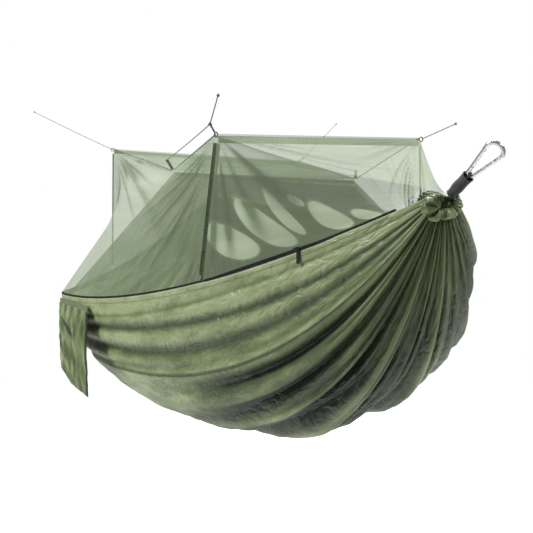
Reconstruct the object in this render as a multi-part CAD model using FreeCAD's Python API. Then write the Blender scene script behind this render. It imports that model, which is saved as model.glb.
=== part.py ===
"""Camping hammock with a zipped insect net, hung out ready for use.

All sizes are in millimetres.  The model is laid out about the middle of the hammock (x along its
length, z up, z = 0 at the two gathered throats) and every piece is moved at export so that the
origin of the part is the inside of the near carabiner's bow, where the tree strap pulls.
"""
import FreeCAD, Part
import math
import os

V = FreeCAD.Vector

# ---------------------------------------------------------------- driving dimensions
HALF_SPAN = 1150.0          # middle to gathered throat
NEAR_RIM_OUT = 610.0        # how far the zipped rim stands out at the middle
NEAR_RIM_SAG = 277.0
FAR_RIM_OUT = 401.0
FAR_RIM_SAG = 68.0
RIM_PLAN_POWER = 1.125      # 1 is a straight run from throat to middle in plan
RIM_SAG_POWER = 1.833
CLOTH = 1.5                 # body cloth with its seams, as a solid
NET = 1.0

# Section of the cloth at the middle: the two inner control points of a cubic, and how fast each
# of them closes towards the throats.
NEAR_CONTROL = (-450.0, -974.0)
FAR_CONTROL = (617.0, -319.0)
NEAR_PLAN_POWER = 2.094
FAR_PLAN_POWER = 4.632
DEPTH_POWER = 4.431
THROAT_RADIUS = 19.0        # the cloth never closes to less than this U at the throat
NEAR_SEAM = 0.105           # where the side panels are sewn on, as a share of the section
FAR_SEAM = 0.895

# Corners of the net's roof and the feet of its hoop tapes
ROOF_A = V(-549, -453, 168)
ROOF_B = V(581, -249, 130)
ROOF_C = V(479, 261, 138)
ROOF_D = V(-619, 251, 136)
ROOF_E = V(0, -290, 72)
ROOF_F = V(-8, 270, 50)
FOOT_X = {"A": -330.0, "B": 660.0, "C": 560.0, "D": -500.0}
DOOR_HINGE_A = 0.30         # share of the way down the two hoop legs where the door is hung
DOOR_HINGE_B = 0.35
DOOR_GAP = 5.0

# Guy cords
KNOT_1 = V(594, -265, 153)
KNOT_2 = V(-633, 276, 152.5)
E_TOP = V(0, -308, 107)
F_TOP = V(-8, 272, 81)
GUY_ENDS = {"a": V(-755, -737, 318), "b": V(682, -261, 201),
            "c": V(461, 363, 180), "d": V(-701, 431, 293)}
CORD_RADIUS = 1.25
KNOT_RADIUS = 4.0

# Suspension: rope loop in its sleeve, and the carabiner
SUSPENSION = V(91.7, 28.1, 67.4)    # throat to the inside of the carabiner's bow
CARABINER_LENGTH = 73.0
WIRE = 3.0
BOW_RADIUS = 12.5
EYE_RADIUS = 4.7
CARABINER_ROLL = 45.0
ROPE = 1.45
SLEEVE_OUTER = 9.0
SLEEVE_WALL = 0.9
SLEEVE_COVERS = 7.0         # length of the carabiner's narrow end inside the sleeve

# Zip
TEETH_WIDE = 3.0
TEETH_THICK = 2.4
TEETH_GAP = 1.0             # half the slit between the two rows
TAPE_EDGE = 14.0
TAPE_THICK = 0.8
ZIP_STRAIGHT = (700.0, 950.0)
SLIDER_X = 905.0
SLIDER = (16.0, 9.0, 1.0)

# Stuff sack
SACK_START_X = 0.0
SACK_WIDE = 218.0
SACK_PROFILE = ((4, -22), (10, -22), (16, -80), (17, -160), (13, -242), (7, -246), (4, -160),
                (3, -60))

ANCHOR = V(HALF_SPAN, 0, 0) + SUSPENSION


# ---------------------------------------------------------------- helpers
def lerp(a, b, t):
    return a + (b - a) * t


def unit(v):
    return v / v.Length


def export(name, shape):
    """Move a piece from the layout frame to the part frame and write it."""
    moved = shape.copy()
    moved.translate(V(-ANCHOR.x, -ANCHOR.y, -ANCHOR.z))
    moved.exportStep("parts/" + name + ".step")


def mirrored(shape):
    return shape.mirror(V(0, 0, 0), V(1, 0, 0))


def face_of(*points):
    return Part.Face(Part.makePolygon(list(points) + [points[0]]))


def sheet(rows, thickness):
    """A thin closed solid about a grid of points: each cell is two flat triangles a side."""
    down, across = len(rows), len(rows[0])
    outer, inner = [], []
    for i in range(down):
        outer.append([])
        inner.append([])
        for j in range(across):
            along_i = rows[min(i + 1, down - 1)][j] - rows[max(i - 1, 0)][j]
            along_j = rows[i][min(j + 1, across - 1)] - rows[i][max(j - 1, 0)]
            half = unit(along_i.cross(along_j)) * (thickness / 2)
            outer[i].append(rows[i][j] + half)
            inner[i].append(rows[i][j] - half)
    faces = []

    def cell(a, b, c, d):
        faces.append(face_of(a, b, c))
        faces.append(face_of(a, c, d))

    for i in range(down - 1):
        for j in range(across - 1):
            for side in (outer, inner):
                cell(side[i][j], side[i + 1][j], side[i + 1][j + 1], side[i][j + 1])
    for i in range(down - 1):
        for j in (0, across - 1):
            cell(outer[i][j], outer[i + 1][j], inner[i + 1][j], inner[i][j])
    for j in range(across - 1):
        for i in (0, down - 1):
            cell(outer[i][j], outer[i][j + 1], inner[i][j + 1], inner[i][j])
    shell = Part.Shell(faces)
    shell.sewShape()
    solid = Part.Solid(shell)
    if solid.Volume < 0:
        solid.reverse()
    return solid


def tube(a, b, radius):
    return Part.makeCylinder(radius, (b - a).Length, a, b - a)


def ribbon(points, low, high, thickness):
    """A strip standing on a line of points, from low to high above it."""
    up = V(0, 0, 1)
    return sheet([[p + up * low for p in points], [p + up * high for p in points]], thickness)


# ---------------------------------------------------------------- the cloth's shape
def rim(x, near):
    t = abs(x) / HALF_SPAN
    out, sag = (-NEAR_RIM_OUT, NEAR_RIM_SAG) if near else (FAR_RIM_OUT, FAR_RIM_SAG)
    plan = 1 - t ** RIM_PLAN_POWER
    throat = (-1 if near else 1) * THROAT_RADIUS * (1 - plan)
    return V(x, out * plan + throat, -sag * (1 - t ** RIM_SAG_POWER))


def cloth(x, u):
    """A point of the cloth: x along the hammock, u across it from the zipped rim (0) to 1."""
    t = min(abs(x) / HALF_SPAN, 1.0)
    deep = 1 - t ** DEPTH_POWER
    near, far = rim(x, True), rim(x, False)
    p1 = (NEAR_CONTROL[0] * (1 - t ** NEAR_PLAN_POWER) - THROAT_RADIUS * (1 - deep),
          NEAR_CONTROL[1] * deep - 1.6 * THROAT_RADIUS * (1 - deep))
    p2 = (FAR_CONTROL[0] * (1 - t ** FAR_PLAN_POWER) + THROAT_RADIUS * (1 - deep),
          FAR_CONTROL[1] * deep - 1.6 * THROAT_RADIUS * (1 - deep))
    b = ((1 - u) ** 3, 3 * u * (1 - u) ** 2, 3 * u * u * (1 - u), u ** 3)
    return V(x, b[0] * near.y + b[1] * p1[0] + b[2] * p2[0] + b[3] * far.y,
             b[0] * near.z + b[1] * p1[1] + b[2] * p2[1] + b[3] * far.z)


def stations(first, last, count, bunch=0.0):
    """Places along x, closer together near both ends when bunch is above 0."""
    out = []
    for i in range(count):
        s = -math.cos(math.pi * i / (count - 1)) * bunch + (2.0 * i / (count - 1) - 1) * (1 - bunch)
        out.append((first + last) / 2 + (last - first) / 2 * s)
    return out


def panel(u_low, u_high, across):
    xs = stations(-HALF_SPAN + 6, HALF_SPAN - 6, 31, 0.75)
    us = [u_low + (u_high - u_low) * j / (across - 1) for j in range(across)]
    return sheet([[cloth(x, u) for u in us] for x in xs], CLOTH)


def make_cloth():
    seam = 0.0006           # a hair between neighbouring panels, as a share of the section
    export("near_side_panel", panel(0.004, NEAR_SEAM - seam, 4))
    export("main_panel", panel(NEAR_SEAM + seam, FAR_SEAM - seam, 15))
    export("far_side_panel", panel(FAR_SEAM + seam, 0.999, 4))


def make_gathers():
    """The end hem bunched on its rope: a waisted bundle with the rope's way through it."""
    profile = [V(-34, 0, 0), V(-34, 0, 24), V(-14, 0, 19), V(0, 0, 13), V(8, 0, 11), V(13, 0, 6),
               V(13, 0, 0)]
    bundle = Part.Face(Part.makePolygon(profile + [profile[0]])).revolve(V(0, 0, 0), V(1, 0, 0), 360)
    bundle.translate(V(HALF_SPAN, 0, -8))
    way = Part.makeCylinder(ROPE + 0.6, 60, V(HALF_SPAN + 4, -30, 0), V(0, 1, 0))
    near = bundle.cut(way)
    export("near_gather", near)
    export("far_gather", mirrored(near))


# ---------------------------------------------------------------- suspension and carabiners
def suspension_axes():
    """s along the pull, w across the carabiner, n square to its plane."""
    s = unit(SUSPENSION)
    level = unit(V(0, 1, 0) - s * s.y)
    up = s.cross(level)
    if up.z < 0:
        up = up * -1
    roll = math.radians(CARABINER_ROLL)
    w = level * math.cos(roll) - up * math.sin(roll)
    return s, w, s.cross(w)


S, W, N = suspension_axes()


def place(s, w=0.0, n=0.0):
    """A point given from the inside of the bow, along the carabiner's own directions."""
    return ANCHOR + S * s + W * w + N * n


BOW_S = WIRE - BOW_RADIUS
EYE_S = BOW_S + BOW_RADIUS + EYE_RADIUS + 2 * WIRE - CARABINER_LENGTH
LEAN = (BOW_RADIUS - EYE_RADIUS) / (BOW_S - EYE_S)      # sine of the legs' angle
UPRIGHT = math.sqrt(1 - LEAN * LEAN)
HINGE_SHARE = 0.13          # where the gate's pin and the nose are, along the gate leg
NOSE_SHARE = 0.80


def leg(side, share):
    """A point on a leg's centre line, from the eye (0) to the bow (1)."""
    eye = (EYE_S + EYE_RADIUS * LEAN, side * EYE_RADIUS * UPRIGHT)
    bow = (BOW_S + BOW_RADIUS * LEAN, side * BOW_RADIUS * UPRIGHT)
    return place(eye[0] + (bow[0] - eye[0]) * share, eye[1] + (bow[1] - eye[1]) * share)


def rod_along(edges, radius):
    path = Part.Wire(edges)
    start = path.Edges[0].valueAt(path.Edges[0].FirstParameter)
    away = path.Edges[0].tangentAt(path.Edges[0].FirstParameter)
    ring = Part.Wire(Part.makeCircle(radius, start, away))
    return path.makePipeShell([ring], True, True)


def make_carabiner():
    gate_line = unit(leg(-1, 1) - leg(-1, 0))
    print("gate pin", leg(-1, HINGE_SHARE) - ANCHOR, "axis", N)
    pin_at, nose_at = leg(-1, HINGE_SHARE), leg(-1, NOSE_SHARE)
    body = rod_along([
        Part.LineSegment(nose_at, leg(-1, 1)).toShape(),
        Part.Arc(leg(-1, 1), place(BOW_S + BOW_RADIUS), leg(1, 1)).toShape(),
        Part.LineSegment(leg(1, 1), leg(1, 0)).toShape(),
        Part.Arc(leg(1, 0), place(EYE_S - EYE_RADIUS), leg(-1, 0)).toShape(),
        Part.LineSegment(leg(-1, 0), pin_at + gate_line * 2.4).toShape()], WIRE)
    pin = Part.makeCylinder(0.8, 2 * WIRE + 0.6, pin_at - N * (WIRE + 0.3), N)
    slot = Part.makeBox(9.4, 2 * WIRE + 6, 2.4)
    slot.Placement = FreeCAD.Placement(
        pin_at - gate_line * 4.2 - W * (WIRE + 3) - N * 1.2,
        FreeCAD.Rotation(gate_line, N.cross(gate_line), N, "XYZ"))
    body = body.cut(slot).cut(pin)
    gate_start = pin_at + gate_line * 3.4
    gate_rod = tube(gate_start, nose_at - gate_line * 0.5, WIRE - 0.3)
    tongue = Part.makeBox(6.4, 3.4, 1.8)
    tongue.Placement = FreeCAD.Placement(
        pin_at - gate_line * 1.7 - N.cross(gate_line) * 1.7 - N * 0.9,
        FreeCAD.Rotation(gate_line, N.cross(gate_line), N, "XYZ"))
    bore = Part.makeCylinder(0.87, 8, pin_at - N * 4, N)
    gate = gate_rod.fuse(tongue).removeSplitter().cut(bore)
    return {"carabiner_body": body, "carabiner_pin": pin, "carabiner_gate": gate}


def make_loop_and_sleeve():
    """One rope: through the bunched hem, up inside the sleeve and round the carabiner's eye."""
    eye_wire = EYE_S - EYE_RADIUS
    bend = WIRE + ROPE + 0.2
    cross_at = V(HALF_SPAN + 4, 0, 0)
    arc = Part.Arc(place(eye_wire, 0, bend), place(eye_wire + bend), place(eye_wire, 0, -bend))
    bight = rod_along([arc.toShape()], ROPE)
    pieces = [bight]
    for side in (1, -1):
        low = cross_at + V(0, side * 16.5, 0) if N.y * side > 0 else cross_at - V(0, side * 16.5, 0)
        neck = cross_at + S * 21 + N * side * bend
        top = place(eye_wire, 0, side * bend)
        pieces += [tube(top, neck, ROPE), tube(neck, low, ROPE),
                   Part.makeSphere(ROPE, neck), Part.makeSphere(ROPE, low)]
    pieces.append(tube(cross_at - V(0, 16.5, 0), cross_at + V(0, 16.5, 0), ROPE))
    loop = pieces[0].multiFuse(pieces[1:]).removeSplitter()
    mouth = place(eye_wire - WIRE + SLEEVE_COVERS)
    foot = cross_at + S * 22.5
    sleeve = tube(foot, mouth, SLEEVE_OUTER).cut(
        tube(foot - S, mouth + S, SLEEVE_OUTER - SLEEVE_WALL))
    return {"rope_loop": loop, "sleeve": sleeve}


def make_suspensions():
    for name, shape in {**make_carabiner(), **make_loop_and_sleeve()}.items():
        export("near_" + name, shape)
        export("far_" + name, mirrored(shape))


# ---------------------------------------------------------------- zip along the near rim
def zip_points(first, last, spacing=70.0):
    """Points along the near rim; the slider's stretch is one straight run."""
    count = max(2, int(round((last - first) / spacing)) + 1)
    xs = [x for x in stations(first, last, count)
          if not ZIP_STRAIGHT[0] + 5 < x < ZIP_STRAIGHT[1] - 5 or x in (first, last)]
    xs += [x for x in ZIP_STRAIGHT if first < x < last]
    return [zip_line(x) for x in sorted(set(xs))]


def zip_line(x):
    low, high = ZIP_STRAIGHT
    lift = V(0, 0, 6)
    if low < x < high:
        return lerp(rim(low, True), rim(high, True), (x - low) / (high - low)) + lift
    return rim(x, True) + lift


def make_zip():
    teeth_top = TEETH_GAP + TEETH_WIDE
    whole = zip_points(-1050, 1090)
    export("zip_lower_teeth", ribbon(whole, -teeth_top, -TEETH_GAP, TEETH_THICK))
    export("zip_lower_tape", ribbon(whole, -TAPE_EDGE, -teeth_top - 0.02, TAPE_THICK))
    door = zip_points(FOOT_X["A"] + DOOR_GAP, FOOT_X["B"] - DOOR_GAP)
    export("door_zip_teeth", ribbon(door, TEETH_GAP, teeth_top, TEETH_THICK))
    export("door_zip_tape", ribbon(door, teeth_top + 0.02, TAPE_EDGE, TAPE_THICK))
    near = zip_points(FOOT_X["B"] + DOOR_GAP, 1090)
    export("near_end_zip_teeth", ribbon(near, TEETH_GAP, teeth_top, TEETH_THICK))
    export("near_end_zip_tape", ribbon(near, teeth_top + 0.02, TAPE_EDGE, TAPE_THICK))
    far = zip_points(-1050, FOOT_X["A"] - DOOR_GAP)
    export("far_end_zip_teeth", ribbon(far, TEETH_GAP, teeth_top, TEETH_THICK))
    export("far_end_zip_tape", ribbon(far, teeth_top + 0.02, TAPE_EDGE, TAPE_THICK))

    along = unit(zip_line(ZIP_STRAIGHT[1] - 10) - zip_line(ZIP_STRAIGHT[0] + 10))
    out = unit(along.cross(V(0, 0, 1)))
    up = out.cross(along)
    turn = FreeCAD.Rotation(along, up, along.cross(up), "XYZ")
    centre = zip_line(SLIDER_X)
    plates = []
    for side in (1, -1):
        plate = Part.makeBox(*SLIDER)
        plate = plate.makeFillet(2.5, [e for e in plate.Edges if abs(e.Length - SLIDER[2]) < 0.01])
        low = side * (TEETH_THICK / 2 + 0.4 + SLIDER[2] / 2) - SLIDER[2] / 2
        plate.Placement = FreeCAD.Placement(
            centre - along * (SLIDER[0] / 2) - up * (SLIDER[1] / 2) + along.cross(up) * low, turn)
        plates.append(plate)
    post = tube(centre + out * 2.2, centre - out * 2.2, 0.6)
    lug_at = centre + out * (TEETH_THICK / 2 + 0.4 + SLIDER[2] + 2.0)
    lug = Part.makeTorus(2.2, 0.5, lug_at, along)
    export("zip_slider", plates[0].multiFuse([plates[1], post, lug]).removeSplitter())
    tab = Part.makeBox(1.2, 26, 8)
    tab = tab.makeFillet(3.0, [e for e in tab.Edges if abs(e.Length - 1.2) < 0.01])
    tab = tab.cut(Part.makeBox(4, 3.8, 3.6, V(-1.3, 1.8, 2.2)))
    tab.Placement = FreeCAD.Placement(lug_at - out * 0.6 + along * 4 + V(0, 0, 0.9),
                                      FreeCAD.Rotation(out, V(0, 0, -1), along * -1, "XYZ"))
    export("zip_puller", tab)
    print("slider way", along, "slider at", centre - ANCHOR, "puller pivot", lug_at - ANCHOR)
    print("slider outward", out)


# ---------------------------------------------------------------- net
def wall_top(c, split, ends):
    first, middle, last = ends
    return lerp(first, middle, c / split) if c < split else lerp(middle, last, (c - split) / (1 - split))


def near_wall_rows():
    """Columns of the near wall: roof edge, door hinge line and a point above the zip."""
    first, last = FOOT_X["A"] + DOOR_GAP, FOOT_X["B"] - DOOR_GAP
    xs = stations(first, last, 15)
    split = -first / (last - first)
    foot_a, foot_b = rim(FOOT_X["A"], True), rim(FOOT_X["B"], True)
    hinge_a, hinge_b = lerp(ROOF_A, foot_a, DOOR_HINGE_A), lerp(ROOF_B, foot_b, DOOR_HINGE_B)
    top, hinge, foot = [], [], []
    for x in xs:
        c = (x - first) / (last - first)
        shift = 0.008 + 0.984 * c
        top.append(wall_top(shift, split, (ROOF_A, ROOF_E, ROOF_B)))
        hinge.append(lerp(hinge_a, hinge_b, shift))
        foot.append(zip_line(x) + V(0, 0, 9))
    return top, hinge, foot, hinge_a, hinge_b


def make_net():
    top, hinge, foot, hinge_a, hinge_b = near_wall_rows()
    lower = [lerp(a, b, 0.012) for a, b in zip(hinge, foot)]
    middle = [lerp(a, b, 0.5) for a, b in zip(hinge, foot)]
    export("net_valance", sheet([top, [lerp(a, b, 0.97) for a, b in zip(top, hinge)]], NET))
    export("net_door", sheet([lower, middle, foot], NET))
    print("door hinge", hinge_a - ANCHOR, hinge_b - ANCHOR)

    split = 0.52
    tops = [wall_top(i / 10, split, (ROOF_D, ROOF_F, ROOF_C)) for i in range(11)]
    feet = [rim(FOOT_X["D"] + (FOOT_X["C"] - FOOT_X["D"]) * i / 10, False) + V(0, 0, 3)
            for i in range(11)]
    export("net_far_wall", sheet([tops, feet], NET))

    inset = V(0, 0, 2.5)
    near_edge = [ROOF_A, lerp(ROOF_A, ROOF_E, 0.5), ROOF_E, lerp(ROOF_E, ROOF_B, 0.5), ROOF_B]
    far_edge = [ROOF_D, lerp(ROOF_D, ROOF_F, 0.5), ROOF_F, lerp(ROOF_F, ROOF_C, 0.5), ROOF_C]
    rows = [[lerp(a, b, t) + inset for a, b in zip(near_edge, far_edge)]
            for t in (0.004, 0.25, 0.5, 0.75, 0.996)]
    export("net_roof", sheet(rows, NET))

    for name, side in (("net_near_end", 1), ("net_far_end", -1)):
        near_top, far_top = (ROOF_B, ROOF_C) if side > 0 else (ROOF_A, ROOF_D)
        near_x = FOOT_X["B"] if side > 0 else FOOT_X["A"]
        far_x = FOOT_X["C"] if side > 0 else FOOT_X["D"]
        end_x = side * (HALF_SPAN - 45)
        columns = []
        for s in (0.012, 0.25, 0.5, 0.75, 0.97):
            low_near = zip_line(near_x + (end_x - near_x) * s) + V(0, 0, 9)
            low_far = rim(far_x + (end_x - far_x) * s, False) + V(0, 0, 3)
            apex = V(end_x, 0, 14)
            up_near = lerp(near_top, apex + V(0, -9, 0), s)
            up_far = lerp(far_top, apex + V(0, 9, 0), s)
            columns.append([low_near, lerp(low_near, up_near, 0.5), up_near,
                            lerp(up_near, up_far, 0.5), up_far, lerp(up_far, low_far, 0.5), low_far])
        export(name, sheet(columns, NET))

    hang = [lerp(ROOF_E, ROOF_F, t) - V(0, 0, 10) for t in (0.02, 0.25, 0.5, 0.75, 0.98)]
    sill_near, sill_far = rim(0, True) + V(0, 14, 16), rim(0, False) + V(0, -10, 8)
    sill = [lerp(sill_near, sill_far, t) for t in (0.05, 0.25, 0.5, 0.75, 0.98)]
    export("net_middle_fall", sheet([hang, sill], NET))


# ---------------------------------------------------------------- tapes, bindings and loops
def strap(a, b, wide, thick, side):
    """A flat strap from a to b, wide towards side."""
    along = unit(b - a)
    side = unit(side - along * side.dot(along))
    bar = Part.makeBox((b - a).Length, wide, thick)
    bar.Placement = FreeCAD.Placement(
        a - side * (wide / 2) - along.cross(side) * (thick / 2),
        FreeCAD.Rotation(along, side, along.cross(side), "XYZ"))
    return bar


def make_tapes():
    """Two hoops of webbing, each a ridge and two legs facing along the hammock, and a lighter one."""
    up, across = V(0, 0, 1), V(0, 1, 0)
    for name, near_top, far_top, near_foot, far_foot, wide, near_leg, far_leg in (
            ("near", ROOF_B, ROOF_C, "B", "C", 15, 15, 4),
            ("far", ROOF_A, ROOF_D, "A", "D", 12, 5, 12)):
        ridge = strap(near_top + V(0, 4, -wide / 2), far_top - V(0, 4, wide / 2), wide, 2.0, up)
        feet = (lerp(near_top, zip_line(FOOT_X[near_foot]), 0.96),
                lerp(far_top, rim(FOOT_X[far_foot], False), 0.97))
        legs = [strap(near_top - V(0, 0, wide + 1), feet[0], near_leg, 1.6, across),
                strap(far_top - V(0, 0, wide + 1), feet[1], far_leg, 1.6, across)]
        export(name + "_ridge_tape", ridge)
        export(name + "_hoop_legs", Part.makeCompound(legs))
    export("middle_hoop_tape",
           strap(ROOF_E + V(0, 6, -5), ROOF_F + V(0, -6, -5), 8, 1.6, up))
    for name, runs in (("near_roof_binding", ((ROOF_A, ROOF_E), (ROOF_E, ROOF_B))),
                       ("far_roof_binding", ((ROOF_D, ROOF_F), (ROOF_F, ROOF_C)))):
        bars = [tube(lerp(a, b, 0.02) + V(0, 0, 5), lerp(a, b, 0.98) + V(0, 0, 5), 1.6)
                for a, b in runs]
        export(name, Part.makeCompound(bars))
    far_rim = [rim(x, False) for x in stations(-HALF_SPAN + 60, HALF_SPAN - 60, 21)]
    export("far_rim_binding", ribbon(far_rim, -7, 3, 3.0))


def make_cords():
    rings = []
    for name, corner, knot in (("a", ROOF_A, None), ("b", ROOF_B, KNOT_1),
                               ("c", ROOF_C, None), ("d", ROOF_D, KNOT_2)):
        end = GUY_ENDS[name]
        away = unit((knot or end) - corner)
        start = corner + away * 9
        rings.append(Part.makeTorus(5.0, 1.4, corner + away * 3.5, away.cross(V(0, 0, 1))))
        from_point = start
        if knot:
            export("corner_strap_" + name,
                   tube(start + away * 1.5, knot - away * (KNOT_RADIUS + 0.5), 2.0))
            export("guy_knot_" + name, Part.makeSphere(KNOT_RADIUS, knot))
            from_point = knot + unit(end - knot) * (KNOT_RADIUS - 0.2)
        export("guy_cord_" + name, tube(from_point, end - unit(end - from_point) * 3.0, CORD_RADIUS))
        export("guy_end_knot_" + name, Part.makeSphere(KNOT_RADIUS - 0.8, end))
    export("corner_loops", Part.makeCompound(rings))
    for name, knot, top, foot in (("e", KNOT_1, E_TOP, ROOF_E), ("f", KNOT_2, F_TOP, ROOF_F)):
        away = unit(top - knot)
        export("branch_cord_" + name,
               tube(knot + away * (KNOT_RADIUS - 0.2), top - away * 3.0, CORD_RADIUS))
        export("middle_tie_" + name, strap(foot + V(0, 0, 7), top + V(0, 0, 2), 8, 2.4, V(0, 1, 0)))


# ---------------------------------------------------------------- stuff sack
def make_sack():
    start, finish = rim(SACK_START_X, True), rim(SACK_START_X + 0.92 * SACK_WIDE, True)
    along = unit(V(finish.x - start.x, finish.y - start.y, 0))
    out = along.cross(V(0, 0, 1))
    corners = [start + out * p[0] + V(0, 0, p[1]) for p in SACK_PROFILE]
    bag = Part.Face(Part.makePolygon(corners + [corners[0]])).extrude(along * SACK_WIDE)
    export("stuff_sack", bag)
    seam = start + out * 8 + V(0, 0, -21)
    print("sack hinge", seam - ANCHOR, "along", along)
    tab = [start + out * 5 + V(0, 0, z) for z in (-20.5, -8)]
    strip = [[p + along * d for d in (4, SACK_WIDE - 4)] for p in tab]
    export("sack_seam_tape", sheet(strip, 4.0))


def main():
    os.makedirs("parts", exist_ok=True)
    make_cloth()
    make_gathers()
    make_suspensions()
    make_zip()
    make_net()
    make_tapes()
    make_cords()
    make_sack()
    print("far anchor", V(-2 * ANCHOR.x, 0, 0))


main()
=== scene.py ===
"""Camping hammock with a zipped insect net, hung out ready for use.

Everything is in metres.  Places are worked out in the hammock's own layout, with x along it from
its middle, z up and z = 0 at the two gathered throats, and moved to the part's frame by placed().
"""

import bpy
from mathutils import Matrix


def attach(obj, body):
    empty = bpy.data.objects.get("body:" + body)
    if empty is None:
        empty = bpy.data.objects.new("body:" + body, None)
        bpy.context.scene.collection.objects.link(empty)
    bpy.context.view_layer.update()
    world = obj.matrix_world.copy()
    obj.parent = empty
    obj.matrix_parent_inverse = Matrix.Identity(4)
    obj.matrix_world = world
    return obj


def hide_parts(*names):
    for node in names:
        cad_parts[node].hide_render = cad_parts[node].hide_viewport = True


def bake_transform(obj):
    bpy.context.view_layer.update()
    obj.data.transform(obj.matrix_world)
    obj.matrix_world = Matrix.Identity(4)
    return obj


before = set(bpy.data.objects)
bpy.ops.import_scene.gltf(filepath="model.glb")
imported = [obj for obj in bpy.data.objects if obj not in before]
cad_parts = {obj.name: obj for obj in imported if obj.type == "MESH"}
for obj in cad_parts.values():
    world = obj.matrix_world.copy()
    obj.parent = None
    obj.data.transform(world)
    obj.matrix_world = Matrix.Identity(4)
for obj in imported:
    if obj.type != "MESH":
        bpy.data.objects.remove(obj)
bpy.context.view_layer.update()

import math

import bmesh
import bpy
import numpy as np
from mathutils import Vector

# ---------------------------------------------------------------- camera
# The eye is a little beyond the near tree strap, level with the hammock's throat, and looks back
# down the whole length of it from the zipped side.
lens = bpy.data.cameras.new("camera")
lens.lens = 48.70
lens.sensor_width = 36.0
lens.clip_end = 100.0
camera = bpy.data.objects.new("camera", lens)
camera.location = (0.87675, -0.50951, -0.06627)
camera.rotation_euler = (math.radians(84.479), 0.0, math.radians(77.505))
bpy.context.collection.objects.link(camera)
bpy.context.scene.camera = camera
bpy.context.scene.view_settings.view_transform = "Standard"

# ---------------------------------------------------------------- guy cords
# Thin braided cord holds the net's roof out: one from each corner to a tree or line above, and one
# from each of two corner straps to the middle of the roof. Each is pulled straight and knotted.
ANCHOR = np.array((1.2417, 0.0281, 0.0674))      # the near carabiner's bow, seen from the middle
ROOF = {"a": (-0.549, -0.453, 0.168), "b": (0.581, -0.249, 0.130),
        "c": (0.479, 0.261, 0.138), "d": (-0.619, 0.251, 0.136),
        "e": (0.0, -0.290, 0.072), "f": (-0.008, 0.270, 0.050)}
ROOF = {name: np.array(point) for name, point in ROOF.items()}
GUY_ENDS = {"a": (-0.755, -0.737, 0.318), "b": (0.682, -0.261, 0.201),
            "c": (0.461, 0.363, 0.180), "d": (-0.701, 0.431, 0.293)}
STRAP_KNOTS = {"b": (0.594, -0.265, 0.153), "d": (-0.633, 0.276, 0.1525)}
TIE_TOPS = {"e": (0.0, -0.308, 0.107), "f": (-0.008, 0.272, 0.081)}
CORD = 0.0025
KNOT = 0.004


def placed(point):
    return np.asarray(point, float) - ANCHOR


def unit(vector):
    return np.asarray(vector, float) / np.linalg.norm(vector)


def mixed(a, b, share):
    return np.asarray(a) + (np.asarray(b) - np.asarray(a)) * share


def add(tree, kind, inputs=None, **settings):
    """One shader node; an input is a value or another node's output."""
    made = tree.nodes.new("ShaderNode" + kind)
    for name, value in settings.items():
        setattr(made, name, value)
    for name, value in (inputs or {}).items():
        if isinstance(value, bpy.types.NodeSocket):
            tree.links.new(value, made.inputs[name])
        else:
            made.inputs[name].default_value = value
    return made


def material(name, **shader):
    """A material, its node tree and its Principled shader, which is set by plain values."""
    made = bpy.data.materials.new(name)
    made.use_nodes = True
    surface = made.node_tree.nodes["Principled BSDF"]
    for label, value in shader.items():
        surface.inputs[label.replace("_", " ").title().replace("Ior", "IOR")].default_value = value
    return made, made.node_tree, surface


def ramp(tree, source, stops):
    """A colour ramp over the given (place, colour) stops."""
    made = add(tree, "ValToRGB", {"Fac": source})
    points = made.color_ramp.elements
    while len(points) < len(stops):
        points.new(0.5)
    for point, (place, colour) in zip(points, stops):
        point.position = place
        point.color = (*colour, 1.0)
    return made.outputs["Color"]


def new_group(name, inputs, outputs):
    made = bpy.data.node_groups.new(name, "ShaderNodeTree")
    for label, kind in inputs:
        made.interface.new_socket(label, in_out="INPUT", socket_type="NodeSocket" + kind)
    for label in outputs:
        made.interface.new_socket(label, in_out="OUTPUT", socket_type="NodeSocketFloat")
    return made, made.nodes.new("NodeGroupInput").outputs, made.nodes.new("NodeGroupOutput").inputs


def used(tree, group, inputs):
    made = add(tree, "Group", node_tree=group)
    for label, value in inputs.items():
        if isinstance(value, bpy.types.NodeSocket):
            tree.links.new(value, made.inputs[label])
        else:
            made.inputs[label].default_value = value
    return made.outputs


weave, given, result = new_group(
    "weave", [("Vector", "Vector"), ("Threads", "Float")], ["Height", "Shade"])
warp = add(weave, "TexWave", {"Vector": given["Vector"], "Scale": given["Threads"]},
           bands_direction="X")
weft = add(weave, "TexWave", {"Vector": given["Vector"], "Scale": given["Threads"]},
           bands_direction="Y")
height = add(weave, "Math", {0: warp.outputs["Fac"], 1: weft.outputs["Fac"]}, operation="MULTIPLY")
weave.links.new(height.outputs[0], result["Height"])
dust = add(weave, "TexNoise", {"Vector": given["Vector"], "Scale": 90.0, "Detail": 3.0})
shade = add(weave, "Math", {0: height.outputs[0], 1: dust.outputs["Fac"]}, operation="ADD")
weave.links.new(shade.outputs[0], result["Shade"])


def woven(name, dark, light, threads, roughness, coordinates="Object", depth=0.0006, **shader):
    """Cloth tape or cord: a weave in relief, lighter on its raised threads."""
    made, tree, surface = material(name, roughness=roughness, **shader)
    place = add(tree, "TexCoord").outputs[coordinates]
    cloth = used(tree, weave, {"Vector": place, "Threads": threads})
    colour = ramp(tree, cloth["Shade"], [(0.35, dark), (1.35 / 1.6, light)])
    tree.links.new(colour, surface.inputs["Base Color"])
    bump = add(tree, "Bump", {"Height": cloth["Height"], "Strength": 0.6, "Distance": depth})
    tree.links.new(bump.outputs["Normal"], surface.inputs["Normal"])
    return made


cord_braid = woven("cord_braid", (0.055, 0.075, 0.035), (0.19, 0.24, 0.12), 260.0, 0.7,
                   sheen_weight=0.2)


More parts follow.
